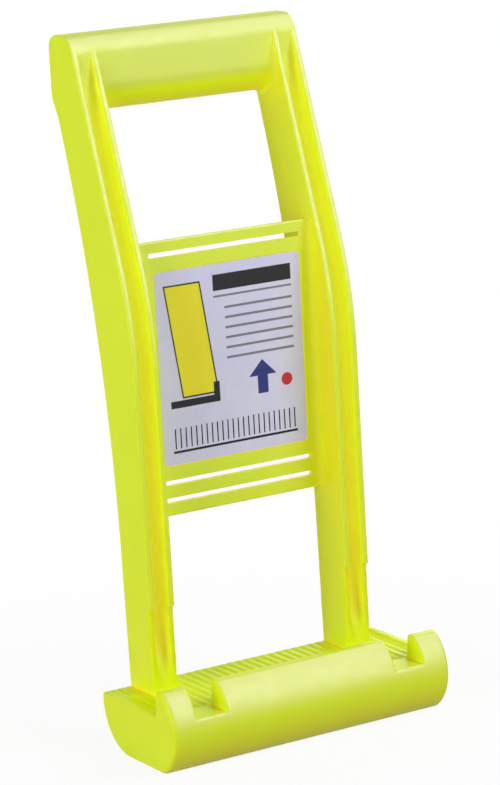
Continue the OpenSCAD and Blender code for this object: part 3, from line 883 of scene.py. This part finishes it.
def shoe_end(name, side, node):
    drop, rim, ledge_r = (RIGHT_LIP_DROP, RIGHT_RIM, RIGHT_LEDGE_R) if side > 0 else (0.0, 0.0, LEFT_LEDGE_R)

    def ring(x):
        def depth(r):
            over = max(0.0, x - (SHOE_W / 2 - r))
            return r - sqrt(max(0.0, r * r - over * over))

        low, high, lip_foot = shoe_front(depth(END_FRONT_R), drop + depth(END_TOP_R), depth(END_INNER_R),
                                         depth(END_LOW_R))
        top = LEDGE_H + rim - depth(ledge_r)
        r = BACK_R - depth(END_BACK_R)
        seat = Vector((lip_foot.x - (top - DECK_Z) * tan(LIP_DRAFT), top))
        over_seat = seat + (high[-1] - seat).normalized() * SEAT_R
        points = line(high[-1], over_seat, 4) + corner(over_seat, seat, seat + Vector((SEAT_R, 0)), 4)[1:]
        back_y = SOLE_BACK_Y + r
        points += line(points[-1], (back_y - SOFT_R, top), 4)
        points += corner((back_y - SOFT_R, top), (back_y, top), (back_y, top - SOFT_R), 3)[1:]
        points += [Vector((back_y, BACK_R))]
        a_low = degrees(asin(min(1.0, (BACK_R - depth(END_LOW_R)) / r)))
        points += arc((SOLE_BACK_Y, BACK_R), r, 0, -a_low, 18)[1:]
        points += line(points[-1], low[0], 3)[:-1]
        return [(side * x, p.x, p.y) for p in low + high + points]

    stations = [INSIDE_X] + [SHOE_W / 2 - END_FRONT_R + out for out, _ in quarter(END_FRONT_R, 9)]
    finish_piece(loft(name, [ring(x) for x in stations]), plastic, node)


def rib_profile():
    """The ledge's ribs along X, as heights over the deck. They end level on the left and rise to a rim on the
    right."""
    rib_steps, rim_steps, rim_reach = 8, 6, 3.0
    rib_r = (RIB_W ** 2 / 4 + RIB_H ** 2) / (2 * RIB_H)
    count = int((2 * INSIDE_X - RIB_W) // RIB_PITCH) + 1
    half = rib_steps // 2
    profile = [(-INSIDE_X, RIB_H)]
    for i in range(count):
        middle = (i - (count - 1) / 2) * RIB_PITCH
        last = half if i == count - 1 else rib_steps
        for k in range(last + 1):
            dx = RIB_W * (k / rib_steps - 0.5)
            h = RIB_H - rib_r + sqrt(rib_r ** 2 - dx * dx)
            profile.append((middle + dx, RIB_H if i == 0 and k < half else h))
    rim_start = profile[-1][0] + RIB_W / 2 - rim_reach
    rim_w = INSIDE_X - rim_start
    return profile + [(rim_start + rim_w * k / rim_steps, RIB_H + RIGHT_RIM * smooth(k / rim_steps))
                      for k in range(rim_steps + 1)]


def ledge(name, node):
    front_run, front_steps = 4.0, 8
    back_run, back_step, back_steps = 5.0, 0.6, 5
    profile = rib_profile()

    def ring(y, rise, drop, fill):
        top = [(x, y, DECK_Z + (h + (RIB_H - h) * fill) * rise - drop) for x, h in profile]
        return top + [(INSIDE_X, y, DECK_LOW_Z), (-INSIDE_X, y, DECK_LOW_Z)]

    loops = [ring(LIP_Y + front_run * k / front_steps, smooth(k / front_steps), 0.0, RIB_FILL)
             for k in range(front_steps + 1)]
    for k in range(back_steps + 1):
        fill = RIB_FILL + (RIB_BACK_FILL - RIB_FILL) * smooth(k / back_steps)
        loops.append(ring(LEDGE_BACK_Y - back_run + back_step * k, 1.0, 0.0, fill))
    loops += [ring(LEDGE_BACK_Y - SOFT_R + out, 1.0, drop, RIB_BACK_FILL) for out, drop in quarter(SOFT_R, 4)]
    finish_piece(loft(name, loops), ribbed_plastic, node, sharp=40)


# Panel
def prism(name, outline, y0, y1):
    """A solid from an outline in X and Z."""
    return loft(name, [[(p.x, y, p.y) for p in outline] for y in (y0, y1)])


def round_box(cx, cz, w, h, r, n=6):
    """The outline of a rectangle with round corners."""
    out = []
    for sx, sz, a in ((1, -1, 270), (1, 1, 0), (-1, 1, 90), (-1, -1, 180)):
        out += arc((cx + sx * (w / 2 - r), cz + sz * (h / 2 - r)), r, a, a + 90, n)
    return out


def panel(name, node):
    wall = IN_X
    into, edge_room = wall + 0.8, 0.2
    rf, rb = PANEL_FILLET, BACK_FILLET

    def ring(z, sink):
        y0, y1 = PANEL_Y + sink, PANEL_Y + PANEL_T - sink
        half = [(0.0, y0)] + arc((wall - rf, y0 - rf), rf, 90, 0, 8)
        half += [(into, y0 - rf + edge_room), (into, y1 + rb - edge_room)]
        half += arc((wall - rb, y1 + rb), rb, 0, -90, 6) + [(0.0, y1)]
        return [(x, y, z) for x, y in mirrored(half)]

    turns = quarter(PANEL_EDGE_R, 4)
    loops = [ring(PANEL_LOW + PANEL_EDGE_R - out, sink) for out, sink in turns[::-1]]
    loops += [ring(PANEL_TOP - PANEL_EDGE_R + out, sink) for out, sink in turns]
    obj = loft(name, loops)

    # Slots through it, and the sunk field that the label lies in
    cut_front, cut_back, end_flat = PANEL_Y - 6, PANEL_Y + 9, 0.01
    cutters = []
    for z in (PANEL_TOP - SLOT_TOP, PANEL_LOW + SLOT_LOW, PANEL_LOW + SLOT_LOW + SLOT_PITCH):
        slot = round_box(SLOT_SHIFT, z, SLOT_W, SLOT_H, SLOT_H / 2 - end_flat, 8)
        cutters.append(prism("slot_cutter", slot, cut_front, cut_back))
    field = round_box(LABEL_SHIFT, LABEL_MID, LABEL_W + 2 * FIELD_ROOM, LABEL_H + 2 * FIELD_ROOM,
                      LABEL_R + FIELD_ROOM)
    cutters.append(prism("field_cutter", field, cut_front, PANEL_Y + FIELD_D))
    boolean_cut(obj, cutters)
    mod = obj.modifiers.new("edges", "BEVEL")
    mod.width = SLOT_EDGE_R * MM
    mod.segments = 2
    mod.limit_method = "ANGLE"
    mod.angle_limit = radians(50)
    mod.use_clamp_overlap = True
    obj.modifiers.new("weld", "WELD").merge_threshold = WELD_POINT * MM
    finish_piece(obj, plastic, node)


# Pieces
grip("grip_moulded", "grip_bar")
for word, side in (("left", -1), ("right", 1)):
    outer_wall(word + "_outer_wall_moulded", side, word + "_outer_wall")
    inner_wall(word + "_inner_wall_moulded", side, word + "_inner_wall")
    web(word + "_web_moulded", side, word + "_web")
    foot(word + "_foot_moulded", side, word + "_foot")
    shoe_end(word + "_end_moulded", side, word + "_end")
front_shell("front_shell_moulded", "front_skin", "left_lip", "centre_lip", "right_lip")
ledge("ledge_moulded", "ledge")
panel("panel_moulded", "centre_panel")
for node, material in (("sole", plastic), ("back_skin", plastic), ("label", paper)):
    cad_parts[node].data.materials.clear()
    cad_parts[node].data.materials.append(material)


# Floor
def make_floor():
    """White to the camera and in reflections, with a soft shadow, and grey in the light it returns."""
    material = bpy.data.materials.new("pale_floor")
    n = Nodes(material, "ShaderNodeOutputMaterial")
    place = n.new("ShaderNodeTexCoord").outputs["Object"]
    far = n.new("ShaderNodeVectorMath", operation="LENGTH")
    n.link(place, far.inputs[0])
    white_share = n.span(far.outputs["Value"], 120, 400, 0.90, 1.0)
    tone = n.ramp(n.noise(place, 6.0), 0.3, 0.7, 0.90, 0.93)
    scattered = n.new("ShaderNodeLightPath").outputs["Is Diffuse Ray"]
    matt = n.new("ShaderNodeBsdfPrincipled")
    n.link(n.times(tone, n.ramp(scattered, 0.0, 1.0, 1.0, 0.66)), matt.inputs["Base Color"])
    matt.inputs["Roughness"].default_value = 0.9
    matt.inputs["Specular IOR Level"].default_value = 0.1
    n.choose(n.times(n.seen(), white_share), matt, n.new("ShaderNodeEmission"))
    return material


FLOOR_HALF = 30
floor_mesh = bpy.data.meshes.new("floor")
floor_mesh.from_pydata([(x * FLOOR_HALF, y * FLOOR_HALF, 0) for x, y in ((-1, -1), (1, -1), (1, 1), (-1, 1))],
                       [], [(0, 1, 2, 3)])
floor = bpy.data.objects.new("floor", floor_mesh)
bpy.context.scene.collection.objects.link(floor)
floor_mesh.materials.append(make_floor())


# World: even white light, and white behind the object
def make_world():
    world = bpy.data.worlds.new("studio")
    n = Nodes(world, "ShaderNodeOutputWorld")
    lights = []
    for strength in (0.33, 1.0):
        light = n.new("ShaderNodeBackground")
        light.inputs["Color"].default_value = (1.0, 1.0, 1.0, 1.0)
        light.inputs["Strength"].default_value = strength
        lights.append(light)
    n.choose(n.seen(), *lights)
    return world


bpy.context.scene.world = make_world()

# Lamps
MIDDLE = Vector((0.0, 0.0, 0.17))


def softbox(name, towards, far, size, power):
    """A soft lamp that looks at the object's middle from a direction and a distance."""
    lamp = bpy.data.lights.new(name, "AREA")
    lamp.shape = "RECTANGLE"
    lamp.size, lamp.size_y = size
    lamp.energy = power
    obj = bpy.data.objects.new(name, lamp)
    bpy.context.scene.collection.objects.link(obj)
    away = Vector(towards).normalized()
    obj.location = MIDDLE + away * far
    obj.rotation_euler = (-away).to_track_quat("-Z", "Y").to_euler()
    return obj


softbox("left", (-0.96, -0.22, 0.17), 1.6, (0.8, 0.8), 14.7)
softbox("front", (0.44, -0.62, 0.65), 1.6, (0.9, 0.9), 12.8)
softbox("back", (0.78, 0.62, 0.12), 1.6, (0.8, 0.8), 10.0)
# These two only make highlights
for name, towards, size, power in (("sheen", (0.437, -0.709, 0.554), (0.9, 2.0), 84.0),
                                   ("crown", (0.512, 0.03, 0.857), (0.9, 1.8), 36.0)):
    softbox(name, towards, 1.7, size, power).visible_diffuse = False

# Camera, fitted to the straight edges in the photo
CAMERA_AT = (-0.78787, -1.25882, 0.49214)
AZIMUTH, ELEVATION, ROLL = radians(31.67), radians(12.21), radians(-3.01)
SENSOR_W, LENS, CLIP_END = 36.0, 145.30, 100.0
forward = Vector((sin(AZIMUTH) * cos(ELEVATION), cos(AZIMUTH) * cos(ELEVATION), -sin(ELEVATION)))
level_right = Vector((cos(AZIMUTH), -sin(AZIMUTH), 0.0))
level_up = level_right.cross(forward)
right = cos(ROLL) * level_right + sin(ROLL) * level_up
up = cos(ROLL) * level_up - sin(ROLL) * level_right
camera_data = bpy.data.cameras.new("camera")
camera_data.sensor_width = SENSOR_W
camera_data.lens = LENS
camera_data.clip_end = CLIP_END
camera = bpy.data.objects.new("camera", camera_data)
bpy.context.scene.collection.objects.link(camera)
camera.matrix_world = Matrix([*zip(right, up, -forward, CAMERA_AT), (0.0, 0.0, 0.0, 1.0)])
bpy.context.scene.camera = camera
bpy.context.scene.view_settings.view_transform = "Standard"
